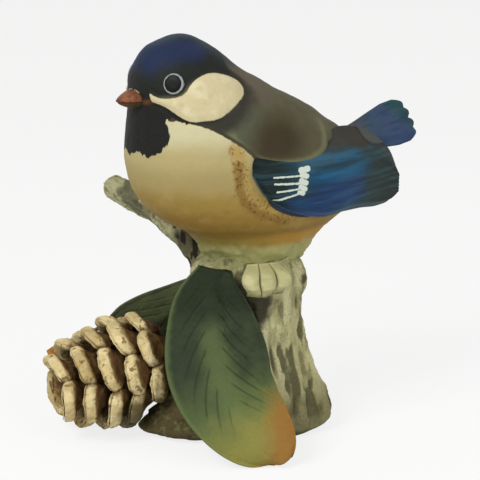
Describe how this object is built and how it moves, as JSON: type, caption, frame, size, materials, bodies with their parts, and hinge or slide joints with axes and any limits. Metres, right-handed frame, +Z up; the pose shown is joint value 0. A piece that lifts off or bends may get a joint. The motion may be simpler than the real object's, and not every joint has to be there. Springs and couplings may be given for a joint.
{
  "type": "porcelain figurine",
  "caption": "Matte painted porcelain ornament: a small garden bird perched on a tree stump, with a stub of branch, two leaves and a pine cone",
  "frame": {"origin": "On the surface that the stump's foot stands on, straight below the middle of the bird's seat", "axes": "+Z up, -Y to the side with the front leaf, -X to the side with the branch and the pine cone; the bird faces -X and a little -Y"},
  "size_m": [0.1018, 0.0608, 0.1062],
  "materials": {
    "bark": "matte",
    "bird_paint": "matte",
    "blue_feather": "matte",
    "beak_paint": "satin",
    "eye_black": "gloss",
    "toe_paint": "matte",
    "leaf_paint": "matte",
    "cone_recess": "matte",
    "cone_cream": "matte"
  },
  "bodies": {
    "root": {"bird_body": "bird_paint", "branch": "bark", "cone_core": "cone_recess", "cone_scale_01": "cone_cream", "cone_scale_02": "cone_cream", "cone_scale_03": "cone_cream", "cone_scale_04": "cone_cream", "cone_scale_05": "cone_cream", "cone_scale_06": "cone_cream", "cone_scale_07": "cone_cream", "cone_scale_08": "cone_cream", "cone_scale_09": "cone_cream", "cone_scale_10": "cone_cream", "cone_scale_11": "cone_cream", "cone_scale_12": "cone_cream", "cone_scale_13": "cone_cream", "cone_scale_14": "cone_cream", "cone_scale_15": "cone_cream", "cone_scale_16": "cone_cream", "cone_scale_17": "cone_cream", "cone_scale_18": "cone_cream", "cone_scale_19": "cone_cream", "cone_scale_20": "cone_cream", "cone_scale_21": "cone_cream", "cone_scale_22": "cone_cream", "cone_scale_23": "cone_cream", "cone_scale_24": "cone_cream", "cone_scale_25": "cone_cream", "cone_scale_26": "cone_cream", "cone_stalk": "cone_recess", "front_leaf": "leaf_paint", "left_eye": "eye_black", "left_foot": "toe_paint", "left_wing": "blue_feather", "lower_beak": "beak_paint", "rear_leaf": "leaf_paint", "right_eye": "eye_black", "right_foot": "toe_paint", "right_wing": "blue_feather", "stump": "bark", "tail": "blue_feather", "upper_beak": "beak_paint"}
  },
  "joints": []
}
